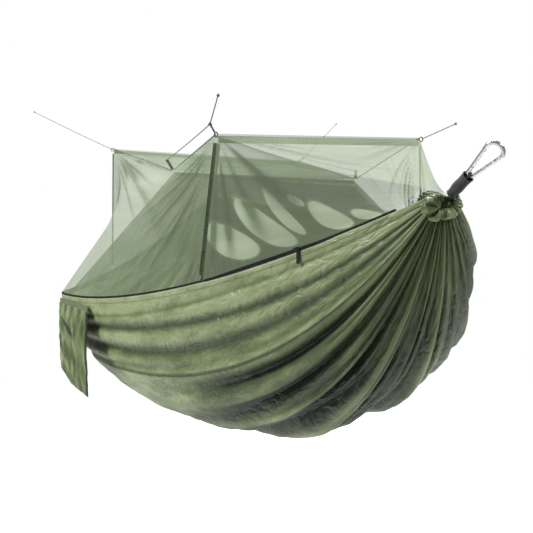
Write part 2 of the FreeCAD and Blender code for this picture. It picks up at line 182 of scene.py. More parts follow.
def straight_cord(name, start, end, sag=0.0):
    """A cord pulled from start to end, hanging a little where it is long."""
    curve = bpy.data.curves.new(name + "_braid", "CURVE")
    curve.dimensions = "3D"
    curve.bevel_depth = CORD / 2
    curve.bevel_resolution = 4
    curve.use_fill_caps = True
    middle = mixed(start, end, 0.5) - np.array((0.0, 0.0, sag))
    route = [start, middle, end] if sag else [start, end]
    spline = curve.splines.new("NURBS")
    spline.points.add(len(route) - 1)
    for point, place in zip(spline.points, route):
        point.co = (*placed(place), 1.0)
    spline.order_u = 3
    spline.use_endpoint_u = True
    spline.resolution_u = 16
    curve.materials.append(cord_braid)
    piece = bpy.data.objects.new(name + "_braid", curve)
    bpy.context.collection.objects.link(piece)
    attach(piece, "hammock")
    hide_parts(name)


def finished(name, mesh, body, replaces=(), material=None, smooth=True):
    """Puts a mesh in the scene as a piece of the hammock."""
    piece = bpy.data.objects.new(name, mesh)
    bpy.context.collection.objects.link(piece)
    if material:
        mesh.materials.clear()
        mesh.materials.append(material)
    if smooth:
        mesh.polygons.foreach_set("use_smooth", [True] * len(mesh.polygons))
    if body:
        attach(piece, body)
    if replaces:
        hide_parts(*replaces)
    return piece


def grid_mesh(name, points, uv=None, flip=False, round_rows=False, **values):
    """A sheet through a grid of points, with a map in metres and named values at its points."""
    rows, columns = points.shape[:2]
    index = np.arange(rows * columns).reshape(rows, columns)
    if round_rows:
        index = np.concatenate((index, index[:, :1]), 1)
    corners = (index[:-1, :-1], index[1:, :-1], index[1:, 1:], index[:-1, 1:])
    faces = np.stack(corners[::-1] if flip else corners, -1).reshape(-1, 4)
    mesh = bpy.data.meshes.new(name)
    mesh.from_pydata(placed(points.reshape(-1, 3)).tolist(), [], faces.tolist())
    if uv is not None:
        layer = mesh.uv_layers.new(name="UVMap")
        order = np.empty(len(mesh.loops), int)
        mesh.loops.foreach_get("vertex_index", order)
        layer.data.foreach_set("uv", uv.reshape(-1, 2)[order].astype(np.float32).ravel())
    for label, value in values.items():
        mesh.attributes.new(label, "FLOAT", "POINT").data.foreach_set(
            "value", value.astype(np.float32).ravel())
    return mesh


def sweep(centres, radii, sides, across=(0.0, 0.0, 1.0)):
    """Rings of points about a line; radii has one row a ring and one column a side."""
    centres = np.asarray(centres, float)
    along = np.gradient(centres, axis=0)
    along /= np.linalg.norm(along, axis=1)[:, None]
    first = np.cross(along, across)
    first /= np.linalg.norm(first, axis=1)[:, None]
    second = np.cross(along, first)
    turn = np.linspace(0, 2 * math.pi, sides, endpoint=False)
    radii = np.broadcast_to(radii, (len(centres), sides))[..., None]
    return (centres[:, None] + first[:, None] * np.cos(turn)[None, :, None] * radii
            + second[:, None] * np.sin(turn)[None, :, None] * radii)


def closed_ends(mesh):
    """Fills the open first and last ring of a swept tube."""
    work = bmesh.new()
    work.from_mesh(mesh)
    bmesh.ops.holes_fill(work, edges=[e for e in work.edges if e.is_boundary], sides=0)
    bmesh.ops.recalc_face_normals(work, faces=work.faces)
    work.to_mesh(mesh)
    work.free()
    return mesh


def knot_mesh(name, centre, size, along):
    """An overhand knot: one turn of cord about itself, pulled into a trefoil ball."""
    turn = np.linspace(0, 2 * math.pi, 73)[:-1]
    along = unit(along)
    side = unit(np.cross(along, (0.3, 0.2, 1.0)))
    third = np.cross(along, side)
    wide = size - CORD / 2
    x = (np.sin(turn) + 2 * np.sin(2 * turn)) / 3 * wide
    y = (np.cos(turn) - 2 * np.cos(2 * turn)) / 3 * wide
    z = -np.sin(3 * turn) * wide * 0.55
    line = (np.asarray(centre) + side * x[:, None] + third * y[:, None] + along * z[:, None])
    rings = sweep(np.concatenate((line, line[:2])), CORD * 0.55, 8)[:-1]
    return closed_ends(grid_mesh(name, rings, round_rows=True))


for name in "abcd":
    knot_at = np.array(STRAP_KNOTS.get(name, ROOF[name]))
    end = np.array(GUY_ENDS[name])
    away = unit(end - knot_at)
    start = knot_at + away * (KNOT - 0.0002 if name in STRAP_KNOTS else 0.009)
    end_knot = finished("end_knot_" + name,
                        knot_mesh("end_knot_" + name, end, KNOT - 0.0004, away),
                        "hammock", ["guy_end_knot_" + name], cord_braid)
    straight_cord("guy_cord_" + name, start, end - away * 0.002,
                  0.003 if name == "a" else 0.0)
for strap, name in (("b", "e"), ("d", "f")):
    knot_at, top = np.array(STRAP_KNOTS[strap]), np.array(TIE_TOPS[name])
    finished("strap_knot_" + strap, knot_mesh("strap_knot_" + strap, knot_at, KNOT + 0.0008,
                                              top - knot_at),
             "hammock", ["guy_knot_" + strap], cord_braid)
    away = unit(top - knot_at)
    straight_cord("branch_cord_" + name, knot_at + away * (KNOT - 0.0002), top - away * 0.003,
                  0.004)

# ---------------------------------------------------------------- floor and light
# A pale floor far under the hammock, and soft lamps: a large one over the zipped side, a smaller
# one beyond the near end for the folds there, and one over the top.
FLOOR = -1.30
room = bpy.data.worlds.new("room")
bpy.context.scene.world = room
room.use_nodes = True
sky = room.node_tree
sky.nodes["Background"].inputs["Color"].default_value = (1.0, 1.0, 1.0, 1.0)
seen = add(sky, "LightPath").outputs["Is Camera Ray"]
strength = add(sky, "MapRange", {"Value": seen, "To Min": 0.30, "To Max": 1.0})
sky.links.new(strength.outputs["Result"], sky.nodes["Background"].inputs["Strength"])
pale, tree, surface = material("pale_floor", roughness=0.9)
surface.inputs["Base Color"].default_value = (0.90, 0.90, 0.89, 1.0)
where = add(tree, "TexCoord").outputs["Object"]
out = add(tree, "VectorMath", {0: where, 1: (-1.25, 0.0, FLOOR)}, operation="DISTANCE")
edge = add(tree, "MapRange", {"Value": out.outputs["Value"], "From Min": 0.6, "From Max": 3.2,
                              "To Min": 1.0, "To Max": 0.0}, interpolation_type="SMOOTHSTEP")
tree.links.new(edge.outputs["Result"], surface.inputs["Alpha"])
surface.inputs["Emission Color"].default_value = (1.0, 1.0, 1.0, 1.0)
glow = add(tree, "MapRange", {"Value": add(tree, "LightPath").outputs["Is Camera Ray"],
                              "To Min": 0.0, "To Max": 0.85})
tree.links.new(glow.outputs["Result"], surface.inputs["Emission Strength"])
turn = np.linspace(0, 2 * math.pi, 65)[:-1]
disc = bpy.data.meshes.new("floor")
disc.from_pydata([(-1.25 + 5 * math.cos(a), 5 * math.sin(a), FLOOR) for a in turn], [],
                 [list(range(len(turn)))])
disc.materials.append(pale)
floor = bpy.data.objects.new("floor", disc)
bpy.context.collection.objects.link(floor)
for name, place, aim, size, power in (
        ("zipped_side_lamp", (-0.9, -2.6, 1.5), (-1.1, -0.3, -0.3), 0.8, 105.0),
        ("near_end_lamp", (1.2, 1.6, 1.6), (-0.4, 0.0, -0.2), 0.6, 60.0),
        ("top_lamp", (-1.9, 0.4, 2.3), (-1.6, 0.0, -0.2), 1.0, 120.0)):
    lamp = bpy.data.lights.new(name, "AREA")
    lamp.size = size
    lamp.energy = power
    holder = bpy.data.objects.new(name, lamp)
    holder.location = place
    holder.rotation_euler = (Vector(aim) - Vector(place)).to_track_quat("-Z", "Y").to_euler()
    bpy.context.collection.objects.link(holder)

# ---------------------------------------------------------------- body cloth
# Crinkled parachute nylon in three panels sewn edge to edge. Both ends are gathered on a rope, so
# the cloth hangs in deep pleats that fan out of each throat and die away over the belly.
HALF_SPAN = 1.150
THROAT = 0.019
SECTION_LENGTH = 1.47
NEAR_SEAM, FAR_SEAM = 0.105, 0.895
PANELS = {"near_side": (0.0, NEAR_SEAM, 60), "main": (NEAR_SEAM, FAR_SEAM, 330),
          "far_side": (FAR_SEAM, 0.999, 40)}
PANEL_END = 1.144


def rim(x, near):
    t = np.abs(x) / HALF_SPAN
    out, sag = (-0.610, 0.277) if near else (0.401, 0.068)
    plan = 1 - t ** 1.125
    y = out * plan + (-THROAT if near else THROAT) * (1 - plan)
    return np.stack((x, y, -sag * (1 - t ** 1.833)), -1)


def cloth(x, u):
    """The smooth cloth: x along the hammock, u across it from the zipped rim (0) to the far one."""
    t = np.minimum(np.abs(x) / HALF_SPAN, 1.0)
    deep = 1 - t ** 4.431
    near, far = rim(x, True), rim(x, False)
    shut = THROAT * (1 - deep)
    p1 = (-0.450 * (1 - t ** 2.094) - shut, -0.974 * deep - 1.6 * shut)
    p2 = (0.617 * (1 - t ** 4.632) + shut, -0.319 * deep - 1.6 * shut)
    b = ((1 - u) ** 3, 3 * u * (1 - u) ** 2, 3 * u * u * (1 - u), u ** 3)
    y = b[0] * near[..., 1] + b[1] * p1[0] + b[2] * p2[0] + b[3] * far[..., 1]
    z = b[0] * near[..., 2] + b[1] * p1[1] + b[2] * p2[1] + b[3] * far[..., 2]
    return np.stack((x, y, z), -1)


def smooth(value):
    value = np.clip(value, 0, 1)
    return value * value * (3 - 2 * value)


def ripple(random, a, b, count, scale):
    """Smooth seeded unevenness over two coordinates."""
    total = 0.0
    for _ in range(count):
        turn, phase = random.uniform(0, 2 * math.pi, 2)
        waves = scale * random.uniform(0.6, 1.6)
        total = total + np.sin((a * math.cos(turn) + b * math.sin(turn)) * waves + phase)
    return total / math.sqrt(count)


def pleats(random, distance, u, count, half, depth, reach):
    """Valleys that run out of a throat; each has its own width, depth, lean and length."""
    total = np.zeros(np.broadcast(distance, u).shape)
    for k in range(count):
        centre = 0.10 + 0.84 * (k + 0.5 + random.uniform(-0.3, 0.3)) / count
        width = half * random.uniform(0.7, 1.4)
        lean = random.choice((0.5, 1.0, 1.8))
        bend = random.uniform(0.3, 1.2) * width * np.sin(
            distance * random.uniform(3, 7) + random.uniform(0, 6))
        q = (u - centre - bend) / width
        q = np.where(q < 0, q / lean, q * lean)
        end = reach * random.uniform(0.6, 1.25)
        fade = 1 - smooth((distance / end - 0.35) / 0.65)
        total = total + depth * random.uniform(0.6, 1.25) * fade * np.exp(-np.abs(q) ** 1.7)
    return total


# Folds in the near side panel: centre, half width, depth, and how dark the valley is painted, as
# painted shade.
SIDE_FOLDS = ((0.018, 0.0030, 0.003, 0.20), (0.040, 0.0060, 0.009, 0.55),
              (0.067, 0.0100, 0.014, 0.50), (0.094, 0.0080, 0.006, 0.25))


def folds(x, u):
    """How far the cloth lies inside its smooth shape, and its painted shade and tone, 0 to 1:
    darkest deep in the folds.
    """
    depth = np.zeros(np.broadcast(x, u).shape)
    for sign, seed in ((1, 11), (-1, 29)):
        random = np.random.default_rng(seed)
        distance = 1 - sign * x / HALF_SPAN
        grow = 0.10 + 0.90 * smooth(distance / 0.42)
        depth += grow * pleats(random, distance, u, 15, 0.017, 0.034, 1.05)
        depth += (0.25 + 0.75 * smooth(distance / 0.25)) * pleats(
            random, distance, u, 27, 0.0085, 0.015, 0.62)
        depth += 0.45 * pleats(random, distance, u, 52, 0.0045, 0.0075, 0.26)
    inside = smooth((u - NEAR_SEAM) / 0.03) * smooth((0.905 - u) / 0.03)
    depth = depth * inside
    # Painted shade: the side folds' valleys are painted darker.
    side_crease = np.zeros(depth.shape)
    for centre, half, deep, dark in SIDE_FOLDS:
        throat = 0.25 + 0.75 * smooth((HALF_SPAN - np.abs(x)) / 0.45)
        sway = 0.004 * np.sin(x * 3.1 + centre * 90)
        valley = np.exp(-np.abs((u - centre - sway) / half) ** 1.8)
        depth = depth + deep * throat * valley
        side_crease = side_crease + dark * valley
    seam = np.exp(-((u - NEAR_SEAM) / 0.0022) ** 2)
    # The main panel is painted a step darker than the near side panel, with lighter and darker
    # patches over it as painted sheen.
    random = np.random.default_rng(23)
    shade = 0.10 * smooth((u - 0.104) / 0.004) + 0.085 * ripple(
        random, x * 1.6, u * 1.47, 9, 19.0) * smooth((u - 0.10) / 0.02)
    random = np.random.default_rng(5)
    belly = smooth((HALF_SPAN - np.abs(x)) / 0.5)
    slack = ripple(random, x * 1.0 + u * 0.6, u * 1.47, 9, 26.0)
    depth = depth + belly * inside * 0.0035 * slack
    crumple = ripple(random, x + u, u * 1.47 - x * 0.4, 14, 95.0)
    depth = depth + belly * (0.3 + 0.7 * inside) * 0.0009 * crumple
    # Painted shade: the deeper a fold, the darker the cloth is painted there.
    return depth, np.clip(np.maximum(depth / 0.027, side_crease) + 0.6 * seam + shade, 0, 1)


def along_stations(count, bunch=0.6):
    k = np.arange(count) / (count - 1)
    return PANEL_END * (-np.cos(math.pi * k) * bunch + (2 * k - 1) * (1 - bunch))


def cloth_points(x, u):
    """The folded cloth over a grid, with the turned hem along the zip standing a little proud."""
    x, u = np.meshgrid(x, u, indexing="ij")
    points = cloth(x, u)
    step = 1e-3
    d_x = cloth(np.clip(x + step, -HALF_SPAN, HALF_SPAN), u) - cloth(
        np.clip(x - step, -HALF_SPAN, HALF_SPAN), u)
    d_u = cloth(x, u + step) - cloth(x, u - step)
    inward = np.cross(d_x, d_u)
    inward /= np.linalg.norm(inward, axis=-1)[..., None]
    depth, crease = folds(x, u)
    hem = 0.0028 * smooth(1 - u / 0.016)
    points = points + inward * (depth - hem)[..., None]
    clear = 0.0040 - 0.0016 * smooth((0.17 - np.abs(x - 0.825)) / 0.03)
    points[..., 2] += clear * smooth(1 - u / 0.010)
    return points, crease, np.stack((u * SECTION_LENGTH, x), -1)


nylon, tree, surface = material("parachute_nylon", sheen_weight=0.15, sheen_roughness=0.35,
                                specular_ior_level=0.5)
surface.inputs["Sheen Tint"].default_value = (0.75, 0.95, 0.65, 1.0)
flat_map = add(tree, "UVMap", uv_map="UVMap").outputs["UV"]
stretch = add(tree, "Mapping", {"Vector": flat_map, "Scale": (1.0, 0.55, 1.0)})
crumple = add(tree, "TexNoise", {"Vector": stretch.outputs["Vector"], "Scale": 30.0,
                                 "Detail": 5.0, "Roughness": 0.6, "Distortion": 0.5})
crease_lines = add(tree, "TexNoise", {"Vector": stretch.outputs["Vector"], "Scale": 40.0,
                                      "Detail": 2.0, "Roughness": 0.5, "Distortion": 0.2})
lines = add(tree, "Math", {0: crease_lines.outputs["Fac"], 1: 0.5}, operation="SUBTRACT")
lines = add(tree, "Math", {0: lines.outputs[0]}, operation="ABSOLUTE")
lines = add(tree, "MapRange", {"Value": lines.outputs[0], "From Min": 0.0, "From Max": 0.12,
                               "To Min": 0.0, "To Max": 1.0}, interpolation_type="SMOOTHSTEP")
relief = add(tree, "Math", {0: crumple.outputs["Fac"], 1: lines.outputs["Result"]},
             operation="ADD")
# Painted shade: the colour follows the crease values, from pale olive to near black deep in the
# folds.
deep = add(tree, "Attribute", attribute_name="crease").outputs["Fac"]
# Painted sheen: stretched lighter and darker streaks along the cloth, with uneven tone.
stretch = add(tree, "Mapping", {"Vector": flat_map, "Scale": (1.0, 0.30, 1.0)})
sheen_streaks = add(tree, "TexNoise", {"Vector": stretch.outputs["Vector"], "Scale": 34.0, "Detail": 4.0,
                               "Roughness": 0.6})
uneven = add(tree, "MapRange", {"Value": sheen_streaks.outputs["Fac"], "From Min": 0.3, "From Max": 0.7,
                                "To Min": -0.12, "To Max": 0.18})
tone = add(tree, "Math", {0: deep, 1: uneven.outputs["Result"]}, operation="ADD")
colour = ramp(tree, tone.outputs[0], [(0.0, (0.270, 0.320, 0.165)), (0.20, (0.140, 0.180, 0.070)),
                                      (0.45, (0.048, 0.072, 0.020)), (1.0, (0.003, 0.008, 0.001))])
tree.links.new(colour, surface.inputs["Base Color"])
gloss = add(tree, "MapRange", {"Value": crumple.outputs["Fac"], "From Min": 0.3, "From Max": 0.7,
                               "To Min": 0.40, "To Max": 0.56})
tree.links.new(gloss.outputs["Result"], surface.inputs["Roughness"])
fine = used(tree, weave, {"Vector": flat_map, "Threads": 700.0})
threads = add(tree, "Bump", {"Height": fine["Height"], "Strength": 0.10, "Distance": 0.0002})
bump = add(tree, "Bump", {"Height": relief.outputs[0], "Strength": 0.50, "Distance": 0.0024,
                          "Normal": threads.outputs["Normal"]})
tree.links.new(bump.outputs["Normal"], surface.inputs["Normal"])

stations = along_stations(150)
for name, (low, high, across) in PANELS.items():
    points, crease, flat = cloth_points(stations, np.linspace(low, high, across))
    piece = finished(name + "_cloth", grid_mesh(name, points, flat, flip=True, crease=crease),
                     "hammock", [name + "_panel"], nylon)
    edge = piece.modifiers.new("thickness", "SOLIDIFY")
    edge.thickness = 0.0004
    edge.offset = -1

# ---------------------------------------------------------------- gathered ends
# At each throat the end hem is a channel of doubled cloth scrunched on its rope: a fat, pleated
# horseshoe with a rounded lobe on either side of the sleeve.
HEM_ROUTE = ((-0.007, 0.000), (-0.017, -0.004), (-0.025, -0.013), (-0.019, -0.023),
             (-0.005, -0.024), (0.008, -0.021), (0.015, -0.012), (0.012, -0.002), (0.005, 0.001))
HEM_RADII = (0.005, 0.0110, 0.0145, 0.0120, 0.0085, 0.0090, 0.0100, 0.0085, 0.004)
CORE = ((1.090, 0.021), (1.120, 0.019), (1.140, 0.016), (1.150, 0.012), (1.156, 0.003))


def smooth_line(points, count):
    """Evenly spread points on a smooth line through the given ones."""
    points = np.asarray(points, float)
    tangents = np.gradient(points, axis=0)
    at = np.linspace(0, len(points) - 1, count)
    k = np.minimum(at.astype(int), len(points) - 2)
    f = (at - k)[:, None]
    h = (2 * f**3 - 3 * f**2 + 1, f**3 - 2 * f**2 + f, -2 * f**3 + 3 * f**2, f**3 - f**2)
    return (h[0] * points[k] + h[1] * tangents[k] + h[2] * points[k + 1] + h[3] * tangents[k + 1])


for end, sign in (("near", 1), ("far", -1)):
    random = np.random.default_rng(40 + sign)
    rings, sides = 200, 40
    route = smooth_line([(*p, r) for p, r in zip(HEM_ROUTE, HEM_RADII)], rings)
    centres = np.column_stack((np.full(rings, sign * (HALF_SPAN + 0.002)), route[:, :2]))
    s = np.linspace(0, 1, rings)[:, None]
    turn = np.linspace(0, 2 * math.pi, sides, endpoint=False)[None]
    ridge = np.zeros((rings, sides))
    for _ in range(26):
        at, wide, phase = random.uniform(0, 1), random.uniform(0.008, 0.016), random.uniform(0, 6.3)
        ridge -= random.uniform(0.10, 0.24) * np.exp(
            -((s - at - 0.012 * np.sin(turn + phase)) / wide) ** 2) * (
                0.7 + 0.3 * np.cos(turn * 2 + phase))
    points = sweep(centres, route[:, 2:] * (1 + ridge), sides, across=(1.0, 0.0, 0.0))
    # Painted shade: the pinched grooves of the hem are painted darker.
    crease = np.clip(0.10 - ridge * 3.4, 0, 1)
    flat = np.stack(np.broadcast_arrays(turn * 0.013, s * 0.4), -1)
    mesh = closed_ends(grid_mesh(end + "_gathered_hem", points, flat, round_rows=True,
                                 crease=crease))
    finished(end + "_gathered_hem", mesh, "hammock", [end + "_gather"], nylon)
    route = smooth_line(CORE, 60)
    centres = np.column_stack((sign * route[:, 0], np.zeros(60), np.full(60, -0.010)))
    turn = np.linspace(0, 2 * math.pi, 96, endpoint=False)[None]
    pleat = np.abs(np.sin(turn * 13 + 2 * np.sin(turn * 3)))
    points = sweep(centres, route[:, 1:] * (1 - 0.25 * (1 - pleat)), 96)
    flat = np.stack(np.broadcast_arrays(turn * 0.015, route[:, :1]), -1)
    # Painted shade: the core's pleat valleys are painted darker.
    mesh = closed_ends(grid_mesh(end + "_gathered_core", points, flat, round_rows=True,
                                 crease=np.broadcast_to(0.35 + 0.6 * (1 - pleat), (60, 96))))
    finished(end + "_gathered_core", mesh, "hammock", (), nylon)

# ---------------------------------------------------------------- insect net
# Fine knitted mesh, see-through, in panels sewn to the roof's edges and down to both rims. It is
# cut full, so pleats run out of each corner, and the fall across the middle hangs in thick swags.
FEET = {"a": -0.330, "b": 0.660, "c": 0.560, "d": -0.500}
ZIP_LIFT = 0.006
ZIP_STRAIGHT = (0.700, 0.950)
NET_START = 0.0024
HINGE_A, HINGE_B = 0.30, 0.35
BINDING = np.array((0.0, 0.0, 0.0042))           # a roof binding, over its edge of the net


def zip_line(x):
    """The zip's middle line, just above the near rim; it runs straight where the slider rides."""
    low, high = ZIP_STRAIGHT
    x = np.asarray(x, float)
    share = ((x - low) / (high - low))[..., None]
    straight = mixed(rim(np.float64(low), True), rim(np.float64(high), True), share)
    inside = ((x > low) & (x < high))[..., None]
    return np.where(inside, straight, rim(x, True)) + np.array((0.0, 0.0, ZIP_LIFT))


def through(points, shares):
    """Places at the given shares along straight runs between points."""
    points = np.asarray(points, float)
    lengths = np.linalg.norm(np.diff(points, axis=0), axis=1)
    at = np.concatenate(([0], np.cumsum(lengths))) / lengths.sum()
    return np.stack([np.interp(shares, at, points[:, k]) for k in range(3)], -1)


def fan(points, corner, toward, random, count, size, reach):
    """Pleats that spread from a corner: the heights over the sheet and how doubled it is there,
    which also paints the net darker there as painted shade.
    """
    corner, away = np.asarray(corner), points - np.asarray(corner)
    distance = np.linalg.norm(away, axis=-1) + 1e-6
    axis = unit(np.asarray(toward) - corner)
    normal = unit(np.cross(points[-1, 0] - points[0, 0], points[0, -1] - points[0, 0]))
    side = unit(np.cross(normal, axis))
    angle = np.arctan2(away @ side, away @ axis)
    high = np.zeros(distance.shape)
    for k in range(count):
        centre = -0.9 + 1.8 * (k + random.uniform(0.1, 0.9)) / count
        wide = random.uniform(0.010, 0.040)
        long = reach * random.uniform(0.5, 1.2)
        body = smooth(distance / 0.10) * (1 - smooth((distance / long - 0.4) / 0.6))
        high += random.uniform(0.6, 1.2) * body * np.exp(-((angle - centre) / wide) ** 2)
    return size * high[..., None] * normal, np.clip(high, 0, 1)


def pinned(shape, rows=(True, True), columns=(True, True), share=0.10):
    """1 inside a sheet, falling to 0 at its sewn edges."""
    r, c = np.linspace(0, 1, shape[0])[:, None], np.linspace(0, 1, shape[1])[None]
    hold = np.ones(shape[:2])
    for on, value in ((rows[0], r), (rows[1], 1 - r), (columns[0], c), (columns[1], 1 - c)):
        if on:
            hold = hold * smooth(value / share)
    return hold


net, tree, surface = material("insect_net", roughness=0.8, specular_ior_level=0.2,
                              sheen_weight=0.1)
flat_map = add(tree, "UVMap", uv_map="UVMap").outputs["UV"]
mesh_holes = used(tree, weave, {"Vector": flat_map, "Threads": 210.0})
# Painted shade and light: where the net lies doubled it is denser and painted darker, as painted
# shade; where the value is below 0 it is denser and painted pale, as painted light.
doubled = add(tree, "Attribute", attribute_name="doubled").outputs["Fac"]
streaks = add(tree, "Mapping", {"Vector": flat_map, "Scale": (26.0, 3.0, 1.0)})
streaks = add(tree, "TexNoise", {"Vector": streaks.outputs["Vector"], "Scale": 1.0, "Detail": 4.0})
fibre = add(tree, "MapRange", {"Value": mesh_holes["Height"], "To Min": 0.44, "To Max": 0.54})
streak = add(tree, "MapRange", {"Value": streaks.outputs["Fac"], "From Min": 0.3, "From Max": 0.7,
                                "To Min": -0.07, "To Max": 0.07})
alpha = add(tree, "Math", {0: fibre.outputs["Result"], 1: streak.outputs["Result"]},
            operation="ADD")
density_shade_and_light = add(tree, "Math", {0: doubled}, operation="ABSOLUTE")
alpha = add(tree, "Math", {0: density_shade_and_light.outputs[0], 1: 0.46, 2: alpha.outputs[0]},
            operation="MULTIPLY_ADD", use_clamp=True)
shade = add(tree, "Math", {0: doubled, 1: 0.5, 2: 0.5}, operation="MULTIPLY_ADD")
tree.links.new(alpha.outputs[0], surface.inputs["Alpha"])
tree.links.new(ramp(tree, shade.outputs[0], [
    (0.0, (0.62, 0.70, 0.52)), (0.5, (0.200, 0.262, 0.150)), (0.8, (0.110, 0.138, 0.082)),
    (1.0, (0.072, 0.092, 0.052))]), surface.inputs["Base Color"])


def net_piece(name, points, body, replaced, doubled, flip=False):
    lengths = [np.linalg.norm(np.diff(points, axis=k), axis=-1).sum(k).mean() for k in (0, 1)]
    c, r = np.meshgrid(np.linspace(0, lengths[1], points.shape[1]),
                       np.linspace(0, lengths[0], points.shape[0]))
    mesh = grid_mesh(name, points, np.stack((c, r), -1), flip=flip, doubled=doubled)
    piece = finished(name, mesh, body, replaced, net)
    return piece


# The zipped wall: a valance from the roof's edge to a hinge line between the hoops, and the door
# below it, from that line down to the zip. They are one cloth, which bends along that line.
first, last = FEET["a"] + 0.005, FEET["b"] - 0.005
count = 150
c = np.linspace(0, 1, count)
x = first + (last - first) * c
split = -first / (last - first)
shift = 0.008 + 0.984 * c
top = np.where((c < split)[:, None], mixed(ROOF["a"], ROOF["e"], (shift / split)[:, None]),
               mixed(ROOF["e"], ROOF["b"], ((shift - split) / (1 - split))[:, None]))
top = top + BINDING
hinge_a = mixed(ROOF["a"], rim(np.float64(FEET["a"]), True), HINGE_A)
hinge_b = mixed(ROOF["b"], rim(np.float64(FEET["b"]), True), HINGE_B)
hinge = mixed(hinge_a, hinge_b, shift[:, None])
foot = zip_line(x) + np.array((0.0, 0.0, NET_START))
upper = np.stack([mixed(top, hinge, t) for t in np.linspace(0, 1, 26)[:-1]])
lower = np.stack([mixed(hinge, foot, t) for t in np.linspace(0, 1, 60)])
points = np.concatenate((upper, lower))
random = np.random.default_rng(3)
hold = pinned(points.shape, rows=(True, True))
move_a, pleat_a = fan(points, ROOF["a"], foot[40], random, 12, -0.008, 0.55)
move_b, pleat_b = fan(points, ROOF["b"], foot[110], random, 12, 0.008, 0.5)
points = points + (move_a + move_b) * hold[..., None]
wall = net_piece("zipped_net_wall", points, None, ["net_valance", "net_door"],
                 np.clip(pleat_a + pleat_b, 0, 1) * hold, flip=True)
fold_at = mixed(hinge_a, hinge_b, 0.5)
down = mixed(foot[0], foot[-1], 0.5) - fold_at
line = unit(hinge_b - hinge_a)
down = unit(down - line * (down @ line))
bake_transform(wall)

# The far wall hangs from the roof's other edge to the far rim, with no way in.
c = np.linspace(0, 1, 120)
top = through([ROOF["d"], ROOF["f"], ROOF["c"]], c) + BINDING
foot = rim(FEET["d"] + (FEET["c"] - FEET["d"]) * c, False) + np.array((0.0, 0.0, 0.003))
points = np.stack([mixed(top, foot, t) for t in np.linspace(0, 1, 50)])
hold = pinned(points.shape)
move_c, pleat_c = fan(points, ROOF["c"], foot[80], random, 9, 0.008, 0.35)
move_d, pleat_d = fan(points, ROOF["d"], foot[30], random, 9, 0.008, 0.35)
net_piece("far_net_wall", points + (move_c + move_d) * hold[..., None], "hammock",
          ["net_far_wall"], np.clip(pleat_c + pleat_d, 0, 1) * hold)

# The roof is nearly flat, pulled down a little along the light tape across its middle.
near_edge = through([ROOF["a"], ROOF["e"], ROOF["b"]], np.linspace(0, 1, 100))
far_edge = through([ROOF["d"], ROOF["f"], ROOF["c"]], np.linspace(0, 1, 100))
points = np.stack([mixed(near_edge, far_edge, t) for t in np.linspace(0.004, 0.996, 60)])
sag = np.sin(math.pi * np.linspace(0, 1, 60))[:, None] * np.abs(
    np.sin(2 * math.pi * np.linspace(0, 1, 100)))[None]
dip = np.exp(-(points[..., 0] / 0.04) ** 2) * np.sin(math.pi * np.linspace(0, 1, 60))[:, None]
points[..., 2] += 0.0046 - 0.008 * sag - 0.006 * dip
net_piece("net_roof_panel", points, "hammock", ["net_roof"],
          np.clip(0.5 * smooth(0.5 - points[..., 0] / 0.10) + 0.15 * ripple(
              random, points[..., 0] * 3, points[..., 1], 5, 9.0), 0, 1))

# Each end closes the net from a hoop down to both rims and to a point over the throat. Over the
# near end's zipped side the net is painted denser and darker, as painted shade, but for a few
# lens-shaped patches painted pale and dense, as painted light.
# Lens-shaped patches painted pale on the near end, as painted light: centre along and up, then two
# axes.
LIGHT_PATCHES = ((0.17, 0.22, 0.19, -0.15, 0.03, 0.10), (0.35, 0.31, 0.21, -0.27, 0.03, 0.09),
           (0.45, 0.40, 0.14, -0.27, 0.02, 0.045), (0.50, 0.56, 0.05, -0.06, 0.01, 0.035),
           (0.68, 0.30, 0.13, -0.26, 0.01, 0.13), (0.84, 0.19, 0.08, -0.16, -0.01, 0.13))

END_COLUMNS = np.linspace(0.006, 0.985, 140)
SIDE_ROWS = 80


def doubled_end(s, t):
    """How the near end's zipped side is painted, s along from the hoop and t up from the zip: above
    0 denser and darker as painted shade, below 0 pale in the light patches as painted light.
    """
    light_patch = np.zeros(s.shape)
    for at_s, at_t, *axes in LIGHT_PATCHES:
        a, b = np.tensordot(np.linalg.inv(np.array(axes).reshape(2, 2).T),
                            np.stack((s - at_s, t - at_t)), 1)
        light_patch = np.maximum(light_patch, 1 - smooth((a * a + b * b - 0.75) / 0.4))
    inside = smooth((0.73 + 0.147 * s - t) / 0.012) * smooth((0.96 - 0.25 * t - s) / 0.012)
    return inside * (0.62 - 1.05 * light_patch)


